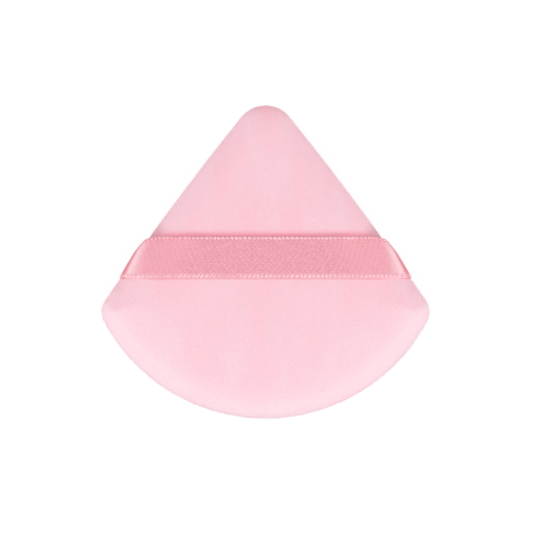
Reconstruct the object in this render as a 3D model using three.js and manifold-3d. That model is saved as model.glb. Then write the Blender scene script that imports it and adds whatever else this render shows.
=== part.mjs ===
// Powder puff: two velour panels sewn edge to edge and turned round a sponge, with a satin
// ribbon across the front whose ends are caught in the side seams.
// Millimetres. The puff lies on its back: X across, +Y towards the apex, +Z up, ribbon on top.
// Every piece is laid out from the seam plane, and the whole puff is then lifted to stand on z = 0.

import * as THREE from 'three';
import { mergeVertices } from 'three/addons/utils/BufferGeometryUtils.js';
import Module from 'manifold-3d';

const wasm = await Module();
wasm.setup();

// Outline seen from above: rounded apex, gently bowed sides, tight corners, round base
const PUFF_WIDTH = 75;
const PUFF_LENGTH = 71.6;
const WIDEST_FROM_APEX = 47;
const APEX_RADIUS = 7;
const CORNER_RADIUS = 4.5;
const SIDE_BOW = 0.5;

// Padded faces, measured from the seam plane
const FRONT_CROWN = 6.2;
const BACK_CROWN = 6.2;
const REST_FLAT = 0.5;
const FULLNESS = 5;

// Velour panels and the allowance turned in at their edge
const VELOUR = 1.2;
const SEAM_DRAW = 0.9;
const SEAM_MOUTH = 0.3;
const ALLOWANCE = 4;
const ALLOWANCE_PLY = 0.8;
const ALLOWANCE_SPREAD = 1;

// Sponge
const SPONGE_CLEARANCE = 0.3;

// Ribbon
const RIBBON_WIDTH = 10;
const RIBBON_THICKNESS = 0.35;
const RIBBON_FROM_APEX = 34.8;
const RIBBON_CLEARANCE = 0.3;
const RIBBON_TAIL = 3.6;
const RIBBON_SINK = 0.6;
const RIBBON_SINK_REACH = 7;
const RIBBON_DRAW = 2.5;
const RIBBON_ROOM = 0.2;

// Lockstitch seam and the hand stitch that closes the gap the puff was turned through
const THREAD_RADIUS = 0.1;
const THREAD_CLEARANCE = 0.2;
const STITCH_PITCH = 5.5;
const STITCH_FROM_FOLD = 1.8;
const TURNING_GAP = 24;
const CLOSING_PITCH = 4.4;
const THREAD_END = 1.2;

// Facet counts, and how far in from the edge the rings of a padded face reach
const BASE_STEPS = 8;
const CORNER_STEPS = 2;
const SIDE_STEPS = 4;
const APEX_STEPS = 4;
const CURL_STEPS = 2;
const ROLL_RINGS = 6;
const LINING_RINGS = 3;
const RING_REACH = 16;
const RIBBON_STRIPS = 2;
const RIBBON_TURN_STEPS = 3;
const THREAD_SIDES = 4;

// The outline's middle, and how deep a ring can follow the edge before its corners close up
const HEART = PUFF_LENGTH / 2;
const CORNER_KEPT = 1;
const PARALLEL_DEPTH = Math.min(APEX_RADIUS, CORNER_RADIUS) - CORNER_KEPT;

// The stack at the seam, out from its plane: ribbon tail, allowance, thread, sponge
const FLANGE_FACE = RIBBON_THICKNESS / 2 + RIBBON_CLEARANCE;
const FLANGE_BACK = FLANGE_FACE + ALLOWANCE_PLY;
const FLANGE_END = SEAM_DRAW + ALLOWANCE;
const THREAD_RUN = FLANGE_BACK + THREAD_CLEARANCE + THREAD_RADIUS;
const BULGE_HEIGHT = THREAD_RUN + THREAD_RADIUS + SPONGE_CLEARANCE;
const SPONGE_DEPTH = VELOUR + SPONGE_CLEARANCE;
const REST_DEPTH = BACK_CROWN - REST_FLAT;

// Stitches: a loop of thread clears the loop hooked through it and the sides of its hole
const STITCH_INSET = SEAM_DRAW + STITCH_FROM_FOLD;
const LOOP_HALF = 2 * THREAD_RADIUS + THREAD_CLEARANCE;
const LOOP_DEPTH = THREAD_RADIUS + THREAD_CLEARANCE / 2;
const NEEDLE_HOLE = 2 * (LOOP_HALF + THREAD_RADIUS + THREAD_CLEARANCE);
const RIBBON_Y = HEART - RIBBON_FROM_APEX;

const FRONT = { crown: FRONT_CROWN, limit: FRONT_CROWN };
const BACK = { crown: BACK_CROWN, limit: REST_DEPTH };

// The circles of the right half of the outline, each touching the next one
function outlineCircles() {
  const apex = { x: 0, y: HEART - APEX_RADIUS, radius: APEX_RADIUS };
  const corner = { x: PUFF_WIDTH / 2 - CORNER_RADIUS, y: HEART - WIDEST_FROM_APEX, radius: CORNER_RADIUS };
  const drop = corner.y + HEART;
  const baseRadius = (corner.x ** 2 + drop ** 2 - corner.radius ** 2) / (2 * (drop - corner.radius));
  const base = { x: 0, y: baseRadius - HEART, radius: baseRadius };

  const along = new THREE.Vector2(corner.x - apex.x, corner.y - apex.y);
  const span = along.length();
  along.normalize();
  const sideRadius = ((span / 2) ** 2 + SIDE_BOW ** 2) / (2 * SIDE_BOW);
  const toApex = sideRadius - apex.radius;
  const toCorner = sideRadius - corner.radius;
  const reach = (span ** 2 + toApex ** 2 - toCorner ** 2) / (2 * span);
  const away = Math.sqrt(toApex ** 2 - reach ** 2);
  const side = {
    x: apex.x + along.x * reach + along.y * away,
    y: apex.y + along.y * reach - along.x * away,
    radius: sideRadius,
  };
  return { apex, side, corner, base };
}

const circles = outlineCircles();

// Points of the edge with their outward normals, once round from the middle of the base
function outlineStations() {
  const { apex, side, corner, base } = circles;
  const sideTop = Math.atan2(apex.y - side.y, apex.x - side.x);
  const sideFoot = Math.atan2(corner.y - side.y, corner.x - side.x);
  const baseEnd = Math.atan2(corner.y - base.y, corner.x - base.x);
  const arcs = [
    { circle: base, from: -Math.PI / 2, to: baseEnd, steps: BASE_STEPS },
    { circle: corner, from: baseEnd, to: 0, steps: CORNER_STEPS },
    { circle: corner, from: 0, to: sideFoot, steps: CORNER_STEPS },
    { circle: side, from: sideFoot, to: sideTop, steps: SIDE_STEPS },
    { circle: apex, from: sideTop, to: Math.PI / 2, steps: APEX_STEPS },
  ];
  const right = [];
  for (const { circle, from, to, steps } of arcs) {
    for (let i = 0; i < steps; i += 1) {
      const angle = from + ((to - from) * i) / steps;
      const normal = new THREE.Vector2(Math.cos(angle), Math.sin(angle));
      const point = new THREE.Vector2(circle.x, circle.y).addScaledVector(normal, circle.radius);
      right.push({ point, normal });
    }
  }
  const top = { point: new THREE.Vector2(0, HEART), normal: new THREE.Vector2(0, 1) };
  const mirrored = ({ point, normal }) => ({
    point: new THREE.Vector2(-point.x, point.y),
    normal: new THREE.Vector2(-normal.x, normal.y),
  });
  const left = right.slice(1).reverse().map(mirrored);
  return [...right, top, ...left];
}

const stations = outlineStations();

// Close to the edge a ring runs parallel to it, and further in it shrinks evenly to the heart
function ringShape(inset) {
  const parallel = Math.min(inset, PARALLEL_DEPTH);
  const shrink = 1 - (inset - parallel) / (HEART - PARALLEL_DEPTH);
  return { parallel, shrink };
}

function ring(inset, z) {
  const { parallel, shrink } = ringShape(inset);
  return stations.map(({ point, normal }) => {
    const flat = point.clone().addScaledVector(normal, -parallel).multiplyScalar(shrink);
    return new THREE.Vector3(flat.x, flat.y, z);
  });
}

function pole(z) {
  return [new THREE.Vector3(0, 0, z)];
}

// Where a line across the puff at y meets the ring at an inset, on the right-hand side
function sideX(y, inset) {
  const { side } = circles;
  const { parallel, shrink } = ringShape(inset);
  const rise = y / shrink - side.y;
  return shrink * (side.x + Math.sqrt((side.radius - parallel) ** 2 - rise ** 2));
}

// Height of a padded face above the seam, or of a layer lying a depth below that face
function padHeight(face, inset, depth = 0) {
  const share = Math.max(0, inset - depth) / (HEART - depth);
  const crown = face.crown - depth - BULGE_HEIGHT;
  const height = BULGE_HEIGHT + crown * Math.sqrt(1 - (1 - share) ** FULLNESS);
  return Math.min(height, face.limit - depth);
}

function padSlope(face, inset) {
  const left = 1 - inset / HEART;
  const steepness = (FULLNESS * left ** (FULLNESS - 1)) / (2 * HEART);
  return ((face.crown - BULGE_HEIGHT) * steepness) / Math.sqrt(1 - left ** FULLNESS);
}

// Distances in from the edge, or from a layer below it, closer together where the pad is steeper
function ringInsets(count, depth = 0) {
  return Array.from({ length: count }, (_, i) => depth + RING_REACH * ((i + 1) / count) ** 2);
}

// A closed skin over rings of points, where a ring of one point is a pole
function loft(rings) {
  const positions = rings.flat().flatMap((p) => [p.x, p.y, p.z]);
  const index = [];
  let start = 0;
  for (let r = 0; r + 1 < rings.length; r += 1) {
    const here = rings[r].length;
    const next = rings[r + 1].length;
    const count = Math.max(here, next);
    for (let i = 0; i < count; i += 1) {
      const j = (i + 1) % count;
      const a = start + (here === 1 ? 0 : i);
      const b = start + (here === 1 ? 0 : j);
      const c = start + here + (next === 1 ? 0 : i);
      const d = start + here + (next === 1 ? 0 : j);
      if (next > 1) index.push(a, c, d);
      if (here > 1) index.push(a, next > 1 ? d : c, b);
    }
    start += here;
  }
  const geometry = new THREE.BufferGeometry();
  geometry.setAttribute('position', new THREE.Float32BufferAttribute(positions, 3));
  geometry.setIndex(index);
  return geometry;
}

function centreOf(points) {
  const sum = points.reduce((total, p) => total.add(p), new THREE.Vector3());
  return sum.divideScalar(points.length);
}

function toSolid(geometry) {
  const bare = geometry.clone();
  bare.deleteAttribute('normal');
  bare.deleteAttribute('uv');
  const merged = mergeVertices(bare);
  return new wasm.Manifold(new wasm.Mesh({
    numProp: 3,
    vertProperties: new Float32Array(merged.attributes.position.array),
    triVerts: new Uint32Array(merged.index.array),
  }));
}

function toGeometry(solid) {
  const mesh = solid.getMesh();
  const geometry = new THREE.BufferGeometry();
  geometry.setAttribute('position', new THREE.BufferAttribute(new Float32Array(mesh.vertProperties), 3));
  geometry.setIndex(new THREE.BufferAttribute(new Uint32Array(mesh.triVerts), 1));
  return geometry;
}

// One velour panel: its padded face, the edge curled in to the seam, the allowance turned inside
// and the wrong side of the cloth, as (inset, height) pairs from the outer pole to the inner one
function panelProfile(face) {
  const outer = ringInsets(ROLL_RINGS).reverse().map((inset) => [inset, padHeight(face, inset)]);
  const curl = Array.from({ length: CURL_STEPS + 1 }, (_, i) => {
    const angle = (Math.PI / 2) * (i / CURL_STEPS);
    const drop = BULGE_HEIGHT - SEAM_MOUTH / 2;
    return [SEAM_DRAW * (1 - Math.cos(angle)), BULGE_HEIGHT - drop * Math.sin(angle)];
  });
  const allowance = [
    [SEAM_DRAW + ALLOWANCE_SPREAD, FLANGE_FACE],
    [FLANGE_END, FLANGE_FACE],
    [FLANGE_END, FLANGE_BACK],
    [VELOUR + ALLOWANCE_SPREAD, FLANGE_BACK],
    [VELOUR, BULGE_HEIGHT],
  ];
  const lining = ringInsets(LINING_RINGS, VELOUR).map((inset) => [inset, padHeight(face, inset, VELOUR)]);
  return [...outer, ...curl, ...allowance, ...lining];
}

function frontPanel() {
  const rings = panelProfile(FRONT).map(([inset, z]) => ring(inset, z));
  return loft([pole(FRONT.limit), ...rings, pole(FRONT.limit - VELOUR)]);
}

function backPanel() {
  const rings = panelProfile(BACK).map(([inset, z]) => ring(inset, -z)).reverse();
  return loft([pole(VELOUR - BACK.limit), ...rings, pole(-BACK.limit)]);
}

// The sponge fills the panels and is pressed to a groove by the allowances
function spongeCore() {
  const insets = [SPONGE_DEPTH, ...ringInsets(LINING_RINGS, SPONGE_DEPTH)];
  const height = (face, inset) => padHeight(face, inset, SPONGE_DEPTH);
  const half = (face, sign) => insets.map((inset) => ring(inset, sign * height(face, inset)));
  const groove = FLANGE_END + SPONGE_CLEARANCE + THREAD_CLEARANCE;
  return loft([
    pole(FRONT.limit - SPONGE_DEPTH),
    ...half(FRONT, 1).reverse(),
    ring(groove, BULGE_HEIGHT),
    ring(groove, -BULGE_HEIGHT),
    ...half(BACK, -1),
    pole(SPONGE_DEPTH - BACK.limit),
  ]);
}

// The ribbon's middle line from a tail in the seam to the top of the pad, as (inset, height):
// out through the mouth of the seam, up round the bulge and over the rolled edge
function ribbonLine() {
  const away = RIBBON_CLEARANCE + RIBBON_THICKNESS / 2;
  const mouth = SEAM_DRAW / 2;
  const turn = mouth + away;
  const round = Array.from({ length: RIBBON_TURN_STEPS + 1 }, (_, i) => {
    const angle = (Math.PI / 2) * (i / RIBBON_TURN_STEPS);
    return [mouth - turn * Math.sin(angle), turn * (1 - Math.cos(angle))];
  });
  const over = ringInsets(ROLL_RINGS).map((inset) => {
    const rise = padSlope(FRONT, inset);
    const length = Math.hypot(1, rise);
    return [inset - (away * rise) / length, padHeight(FRONT, inset) + away / length];
  });
  return [[mouth + RIBBON_TAIL, 0], ...round, [-away, BULGE_HEIGHT], ...over];
}

// The ribbon, or with room added the space that the velour leaves for it. The pad widens below the
// ribbon, so the lower edge is the tight one and presses into the pile over the rolled edge. The
// upper edge is drawn down on its way to the seam, so that the ribbon meets the slant more squarely.
function ribbonBand(room = 0) {
  const line = ribbonLine();
  const half = RIBBON_THICKNESS / 2 + room;
  const width = RIBBON_WIDTH + 2 * room;
  const faces = line.map(([inset, z], i) => {
    const [inset0, z0] = line[Math.max(i - 1, 0)];
    const [inset1, z1] = line[Math.min(i + 1, line.length - 1)];
    const length = Math.hypot(inset1 - inset0, z1 - z0);
    const turn = { inset: -(z1 - z0) / length, z: (inset1 - inset0) / length };
    const fade = Math.max(0, 1 - Math.max(0, inset) / RIBBON_SINK_REACH);
    const rise = Math.min(1, z / BULGE_HEIGHT);
    const fall = Math.max(0, 1 - z / FRONT_CROWN);
    return { inset, z, turn, sink: RIBBON_SINK * fade * rise, draw: RIBBON_DRAW * fall ** 2 };
  });
  const across = Array.from({ length: RIBBON_STRIPS + 1 }, (_, k) => k / RIBBON_STRIPS);
  const loop = (at) => [...across.map((s) => at(s, half)), ...across.toReversed().map((s) => at(s, -half))];
  const lineY = (share) => RIBBON_Y + (share - 1 / 2) * width;
  const section = ({ inset, z, turn, sink, draw }, hand) => loop((share, out) => {
    const y = lineY(share) - share * draw;
    const from = inset + out * turn.inset + (1 - share) * sink;
    return new THREE.Vector3(hand * sideX(y, from), y, z + out * turn.z);
  });
  const top = FRONT_CROWN + RIBBON_CLEARANCE + RIBBON_THICKNESS / 2;
  const middle = loop((share, out) => new THREE.Vector3(0, lineY(share), top + out));
  const sections = [
    ...faces.map((face) => section(face, -1)),
    middle,
    ...faces.toReversed().map((face) => section(face, 1)),
  ];
  return loft([[centreOf(sections[0])], ...sections, [centreOf(sections.at(-1))]]);
}

// The stitching line, walked once round from the middle of the base, where the turning gap is
function stitchingLine() {
  const line = ring(STITCH_INSET, 0);
  const loop = [...line, line[0]];
  const lengths = loop.slice(1).map((p, i) => p.distanceTo(loop[i]));
  const total = lengths.reduce((sum, length) => sum + length, 0);
  const at = (distance) => {
    let left = ((distance % total) + total) % total;
    let i = 0;
    while (i < lengths.length - 1 && left > lengths[i]) {
      left -= lengths[i];
      i += 1;
    }
    const along = loop[i + 1].clone().sub(loop[i]).normalize();
    const point = loop[i].clone().addScaledVector(along, left);
    return { point, along, out: new THREE.Vector3(along.y, -along.x, 0) };
  };
  return { total, at };
}

const stitching = stitchingLine();

// Stitches spread evenly between two distances along the stitching line
function stitchesBetween(from, to, pitch) {
  const count = Math.round((to - from) / pitch);
  return Array.from({ length: count + 1 }, (_, i) => stitching.at(from + ((to - from) * i) / count));
}

const gapHalf = TURNING_GAP / 2;
const machineStitches = stitchesBetween(gapHalf, stitching.total - gapHalf, STITCH_PITCH);
const closingEnd = gapHalf - 2 * (LOOP_HALF + THREAD_END);
const closingStitches = stitchesBetween(-closingEnd, closingEnd, CLOSING_PITCH);

// A prism swept along straight runs, mitred where they meet
function cord(path) {
  const directions = path.slice(1).map((p, i) => p.clone().sub(path[i]).normalize());
  const up = new THREE.Vector3(0, 0, 1);
  const flat = new THREE.Vector3().crossVectors(up, directions[0]).normalize();
  const upright = new THREE.Vector3().crossVectors(flat, directions[0]);
  let section = Array.from({ length: THREAD_SIDES }, (_, i) => {
    const angle = (2 * Math.PI * (i + 0.5)) / THREAD_SIDES;
    const radius = THREAD_RADIUS / Math.cos(Math.PI / THREAD_SIDES);
    return path[0].clone()
      .addScaledVector(flat, radius * Math.cos(angle))
      .addScaledVector(upright, radius * Math.sin(angle));
  });
  const rings = [[path[0]], section];
  for (let i = 1; i < path.length; i += 1) {
    const along = directions[i - 1];
    const mitre = along.clone().add(directions[i] ?? along).normalize();
    section = section.map((p) => {
      const far = path[i].clone().sub(p).dot(mitre) / along.dot(mitre);
      return p.clone().addScaledVector(along, far);
    });
    rings.push(section);
  }
  rings.push([path.at(-1)]);
  return loft(rings);
}

// A thread that runs along one side of the cloth and dips a loop down each needle hole.
// The needle's loops lie along the seam and the bobbin's across it, each hooked over the other.
function lockstitchThread(run, loopEnd, loopAxis) {
  const path = [];
  for (const stitch of machineStitches) {
    const axis = stitch[loopAxis];
    const foot = stitch.point.clone().addScaledVector(axis, -LOOP_HALF);
    const head = stitch.point.clone().addScaledVector(axis, LOOP_HALF);
    path.push(foot.clone().setZ(run), foot.setZ(loopEnd), head.clone().setZ(loopEnd), head.setZ(run));
  }
  const firstRun = path[0].clone().addScaledVector(machineStitches[0].along, -THREAD_END);
  const lastRun = path.at(-1).clone().addScaledVector(machineStitches.at(-1).along, THREAD_END);
  return cord([firstRun, ...path, lastRun]);
}

// The closing thread goes up through one hole and down through the next
function closingThread() {
  const path = closingStitches.flatMap(({ point }, i) => {
    const from = i % 2 === 0 ? -THREAD_RUN : THREAD_RUN;
    return [point.clone().setZ(from), point.clone().setZ(-from)];
  });
  const firstRun = path[0].clone().addScaledVector(closingStitches[0].along, -THREAD_END);
  const lastRun = path.at(-1).clone().addScaledVector(closingStitches.at(-1).along, THREAD_END);
  return cord([firstRun, ...path, lastRun]);
}

function cutNeedleHoles(solid) {
  const depth = 2 * THREAD_RUN;
  let result = solid;
  for (const { point, along } of [...machineStitches, ...closingStitches]) {
    const hole = new THREE.BoxGeometry(NEEDLE_HOLE, NEEDLE_HOLE, depth);
    hole.rotateZ(Math.atan2(along.y, along.x));
    hole.translate(point.x, point.y, 0);
    result = result.subtract(toSolid(hole));
  }
  return result;
}

const ribbonRoom = toSolid(ribbonBand(RIBBON_ROOM));

const velour = new THREE.MeshStandardMaterial({ color: '#fbcfda', roughness: 0.95, metalness: 0 });
const satin = new THREE.MeshStandardMaterial({ color: '#f1a8b4', roughness: 0.42, metalness: 0 });
const sponge = new THREE.MeshStandardMaterial({ color: '#fbf3ea', roughness: 1, metalness: 0 });
const thread = new THREE.MeshStandardMaterial({ color: '#f4b9c6', roughness: 0.7, metalness: 0 });

function piece(name, geometry, material) {
  geometry.computeVertexNormals();
  const mesh = new THREE.Mesh(geometry, material);
  mesh.name = name;
  return mesh;
}

function sewn(geometry) {
  return toGeometry(cutNeedleHoles(toSolid(geometry)));
}

function sewnPanel(geometry) {
  return toGeometry(cutNeedleHoles(toSolid(geometry).subtract(ribbonRoom)));
}

const puff = new THREE.Group();
puff.position.z = REST_DEPTH;
puff.add(
  piece('front_velour', sewnPanel(frontPanel()), velour),
  piece('back_velour', sewnPanel(backPanel()), velour),
  piece('sponge_core', spongeCore(), sponge),
  piece('finger_ribbon', sewn(ribbonBand()), satin),
  piece('needle_thread', lockstitchThread(THREAD_RUN, -LOOP_DEPTH, 'along'), thread),
  piece('bobbin_thread', lockstitchThread(-THREAD_RUN, LOOP_DEPTH, 'out'), thread),
  piece('closing_thread', closingThread(), thread),
);

const group = new THREE.Group();
group.add(puff);

export default group;
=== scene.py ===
# %% [markdown]
# # A powder puff, dressed piece by piece
# The real puff is two pieces of velour sewn edge to edge and turned right side out round a sponge, with a
# satin ribbon for the fingers caught in the side seams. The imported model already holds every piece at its
# true size and place. This lesson loads it as a fixed frame and dresses it: each soft solid is replaced by
# a finer piece that sits where the solid sat, and nothing in the frame is moved.

# %% Load the frame
import math

import bpy
import numpy as np
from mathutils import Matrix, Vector
from mathutils.bvhtree import BVHTree
from mathutils.geometry import delaunay_2d_cdt


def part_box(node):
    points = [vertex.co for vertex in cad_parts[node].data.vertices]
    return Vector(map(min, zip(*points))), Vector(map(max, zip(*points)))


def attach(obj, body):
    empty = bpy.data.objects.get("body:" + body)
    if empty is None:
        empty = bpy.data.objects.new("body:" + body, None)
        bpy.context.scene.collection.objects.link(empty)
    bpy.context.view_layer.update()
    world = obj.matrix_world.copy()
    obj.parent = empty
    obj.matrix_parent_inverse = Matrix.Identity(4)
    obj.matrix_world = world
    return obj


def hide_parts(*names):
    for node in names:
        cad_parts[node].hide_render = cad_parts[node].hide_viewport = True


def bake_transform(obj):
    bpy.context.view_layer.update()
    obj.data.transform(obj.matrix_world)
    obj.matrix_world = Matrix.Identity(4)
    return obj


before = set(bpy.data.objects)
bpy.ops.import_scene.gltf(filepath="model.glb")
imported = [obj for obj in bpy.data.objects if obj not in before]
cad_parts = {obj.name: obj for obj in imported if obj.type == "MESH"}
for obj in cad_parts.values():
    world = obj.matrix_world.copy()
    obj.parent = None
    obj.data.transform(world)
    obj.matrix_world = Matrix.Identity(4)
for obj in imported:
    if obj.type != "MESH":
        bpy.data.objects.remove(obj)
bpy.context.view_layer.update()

print("nodes in the frame:", sorted(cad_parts))

# %% [markdown]
# ## The sizes that everything follows
# Blender works in metres here, which makes a puff's sizes awkward to read. The sizes below are therefore in
# millimetres, and one function turns points to metres when a mesh is made. What the frame knows is measured
# from it, so that a puff of another size still fits: its half width and length, the height of the seam, and
# how far each face swells from it. The outline that one sees is drawn by the tips of the pile, so the cloth
# itself lies a little inside it.

# %% Read the main sizes from the frame
MM = 0.001
PILE = 0.15
front_low, front_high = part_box("front_velour")
back_low, back_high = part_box("back_velour")
ribbon_low, ribbon_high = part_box("finger_ribbon")
HALF_WIDTH = (front_high.x - front_low.x) / 2 / MM - PILE
HALF_LENGTH = (front_high.y - front_low.y) / 2 / MM - PILE
SEAM_HEIGHT = (front_low.z + back_high.z) / 2 / MM
FRONT_SWELL = front_high.z / MM - SEAM_HEIGHT
BACK_SWELL = SEAM_HEIGHT - back_low.z / MM
RIBBON_LOW_Y = ribbon_low.y / MM
RIBBON_WIDTH = (ribbon_high.y - ribbon_low.y) / MM
RIBBON_HIGH_Y = RIBBON_LOW_Y + RIBBON_WIDTH
print(f"puff {2 * HALF_WIDTH:.1f} by {2 * HALF_LENGTH:.1f} mm, seam {SEAM_HEIGHT:.2f} mm up")

# %% [markdown]
# ## The camera
# The picture looks straight down on the ribbon side, with the apex at the top. A puff photographed like
# that shows no perspective to speak of, so the lens is long and the camera far away. The distance follows
# from how many millimetres the picture spans at the bulge, the level over the seam where each face is
# widest.

# %% Set the camera over the puff
LENS = 120
PICTURE_SPAN = 121.5
PICTURE_CENTRE = (0.23, -1.03)
BULGE = 1.975

camera_data = bpy.data.cameras.new("camera")
camera_data.lens = LENS
camera = bpy.data.objects.new("camera", camera_data)
camera_rise = SEAM_HEIGHT + BULGE + LENS * PICTURE_SPAN / camera_data.sensor_width
camera.location = Vector((*PICTURE_CENTRE, camera_rise)) * MM
bpy.context.scene.collection.objects.link(camera)
bpy.context.scene.camera = camera
print(f"camera {camera_rise:.0f} mm up, looking straight down")

# %% [markdown]
# ## Small helpers for colours and nodes
# Colours are given as sRGB hex values, but a shader mixes light in linear values, so one function
# turns the one into the other. A second one adds a node: an input is given either a plain value or the
# output of another node, which it then links. The last one is the step that these cloths need most: a
# colour that turns towards another tone as some distance or slope grows.

# %% Turn hex colours to linear and add nodes
def linear(hex_colour):
    """The linear RGBA of an sRGB colour such as #f7c4d0."""
    parts = [int(hex_colour[i:i + 2], 16) / 255 for i in (1, 3, 5)]
    return (*[c / 12.92 if c <= 0.04045 else ((c + 0.055) / 1.055) ** 2.4 for c in parts], 1)


def add_node(tree, kind, inputs=None, **settings):
    """Adds one node. An input takes a value, or a socket that is linked to it."""
    node = tree.nodes.new(kind)
    for name, value in settings.items():
        setattr(node, name, value)
    for name, value in (inputs or {}).items():
        if isinstance(value, bpy.types.NodeSocket):
            tree.links.new(value, node.inputs[name])
        else:
            node.inputs[name].default_value = value
    return node


def new_material(name):
    """An empty node material and its tree."""
    material = bpy.data.materials.new(name)
    material.use_nodes = True
    material.node_tree.nodes.clear()
    return material, material.node_tree


def shade_towards(tree, colour, tone, value, start, full, share=1.0, easing="LINEAR"):
    """Turns a colour towards a tone, by up to a share, as a value goes from a start to where it is full."""
    reached = add_node(tree, "ShaderNodeMapRange", {
        "Value": value, "From Min": start, "From Max": full, "To Max": share}, interpolation_type=easing)
    shaded = add_node(tree, "ShaderNodeMix", {"Factor": reached.outputs[0], "A": colour, "B": linear(tone)},
                      data_type="RGBA")
    return shaded.outputs["Result"]


print("velour pink in linear light:", [round(c, 3) for c in linear("#f7c4d0")[:3]])

# %% [markdown]
# ## A white studio
# The puff lies on pure white. A floor that is white only by lamplight would need so much of it that the
# puff would bleach too. So the floor and the sky look white to the camera by the Light Path node, and the
# lamps can stay at a plain level. The floor still takes a little real light, so that the puff's shadow
# stays on it.

# %% Make the sky and the floor
SKY_LIGHT = 0.35
FLOOR_SIZE = 4000
FLOOR_GLOW = 0.80
FLOOR_SHADE = 0.24
FLOOR_PAPER = 0.80


def seen_directly(tree):
    """A factor of 1 for rays from the eye, in mirrors and through glass, and 0 for bounced light."""
    path = add_node(tree, "ShaderNodeLightPath").outputs
    mirrors = add_node(tree, "ShaderNodeMath", {0: path["Is Camera Ray"], 1: path["Is Glossy Ray"]},
                       operation="MAXIMUM").outputs[0]
    return add_node(tree, "ShaderNodeMath", {0: mirrors, 1: path["Is Transmission Ray"]},
                    operation="MAXIMUM").outputs[0]


def white_sky():
    """A sky that looks white to the eye and lights the puff only a little."""
    sky = bpy.data.worlds.new("white_sky")
    sky.use_nodes = True
    tree = sky.node_tree
    tree.nodes.clear()
    strength = add_node(tree, "ShaderNodeMapRange",
                        {"Value": seen_directly(tree), "To Min": SKY_LIGHT, "To Max": 1.0})
    glow = add_node(tree, "ShaderNodeBackground",
                    {"Color": linear("#ffffff"), "Strength": strength.outputs[0]})
    add_node(tree, "ShaderNodeOutputWorld", {"Surface": glow.outputs[0]})
    return sky


def studio_paper():
    """Matt paper that looks white to the eye and still takes the puff's shadow."""
    material, tree = new_material("white_studio_paper")
    glow = add_node(tree, "ShaderNodeEmission", {"Color": linear("#ffffff"), "Strength": FLOOR_GLOW})
    shade, bounce = (add_node(tree, "ShaderNodeBsdfDiffuse", {"Color": (grey, grey, grey, 1)})
                     for grey in (FLOOR_SHADE, FLOOR_PAPER))
    shown = add_node(tree, "ShaderNodeAddShader", {0: glow.outputs[0], 1: shade.outputs[0]})
    either = add_node(tree, "ShaderNodeMixShader",
                      {0: seen_directly(tree), 1: bounce.outputs[0], 2: shown.outputs[0]})
    add_node(tree, "ShaderNodeOutputMaterial", {"Surface": either.outputs[0]})
    return material


bpy.context.scene.world = white_sky()
half_floor = FLOOR_SIZE / 2 * MM
floor_mesh = bpy.data.meshes.new("floor")
floor_mesh.from_pydata([(-half_floor, -half_floor, 0), (half_floor, -half_floor, 0),
                        (half_floor, half_floor, 0), (-half_floor, half_floor, 0)], [], [(0, 1, 2, 3)])
floor_mesh.materials.append(studio_paper())
floor = bpy.data.objects.new("floor", floor_mesh)
bpy.context.scene.collection.objects.link(floor)
bpy.context.scene.view_settings.view_transform = "Standard"
print(f"floor {FLOOR_SIZE} mm wide under a {bpy.context.scene.world.name}")

# %% [markdown]
# ## The lamps
# The light is soft and nearly even: a large soft box overhead, and one at each corner of the round base,
# which leave the apex a little darker. A broad, low panel at each end of the ribbon gives the satin part of
# its pale glint where it bends, and the rest of that glint is a painted highlight in the satin. Area lamps
# suit this best, because their size sets how soft a shadow is, as in a studio. All but the first stand in
# pairs, so each pair is written once, for the right-hand side, and mirrored.

# %% Hang the lamps
HANDS = {"left": -1, "right": 1}
OVERHEAD_BOX = {"place": (0, 170, 1200), "size": (1600, 1600), "power": 6.9}
PAIRED_LAMPS = {
    "base_box": {"place": (1000, -680, 700), "size": (500, 500), "power": 5.9},
    "strip": {"place": (900, 480, 320), "size": (300, 800), "power": 2.4},
}

lamps = {"overhead_box": OVERHEAD_BOX}
for lamp_name, lamp in PAIRED_LAMPS.items():
    off_side, along_side, up = lamp["place"]
    for side_name, hand in HANDS.items():
        lamps[f"{side_name}_{lamp_name}"] = {**lamp, "place": (hand * off_side, along_side, up)}
for lamp_name, lamp in lamps.items():
    lamp_data = bpy.data.lights.new(lamp_name, "AREA")
    lamp_data.shape = "RECTANGLE"
    lamp_data.size, lamp_data.size_y = (side * MM for side in lamp["size"])
    lamp_data.energy = lamp["power"]
    lamp_object = bpy.data.objects.new(lamp_name, lamp_data)
    lamp_object.location = Vector(lamp["place"]) * MM
    lamp_object.rotation_euler = (-lamp_object.location).to_track_quat("-Z", "Y").to_euler()
    bpy.context.scene.collection.objects.link(lamp_object)
print("lamps:", ", ".join(lamps))

# %% [markdown]
# ## Painted shade beside the ribbon
# Along the ribbon's upper edge the velour is painted a deeper rose: painted shade from the ribbon's edge,
# tinted by the pink light between ribbon and pile. Near the ribbon's four corners, where they pull the cloth
# in, it is painted greyer, which is painted shade too. Both could be painted on an image, but a distance that
# the shader works out is sharp at any size and needs no unwrapping. Each spot has its place on the
# right-hand side, how far it reaches, and how strongly it darkens.

# %% Paint shade beside the ribbon
RIBBON_SHADE_REACH = 1.7
RIBBON_SHADE_SHARE = 0.55
RIBBON_SHADE_ROSE = "#f892a8"
CORNER_SHADE_SPOTS = {(25.4, 6.7): (3.6, 0.85), (33.8, -5.6): (2.8, 0.22)}
CORNER_SHADE_GREY = "#d8a1ac"


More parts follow.
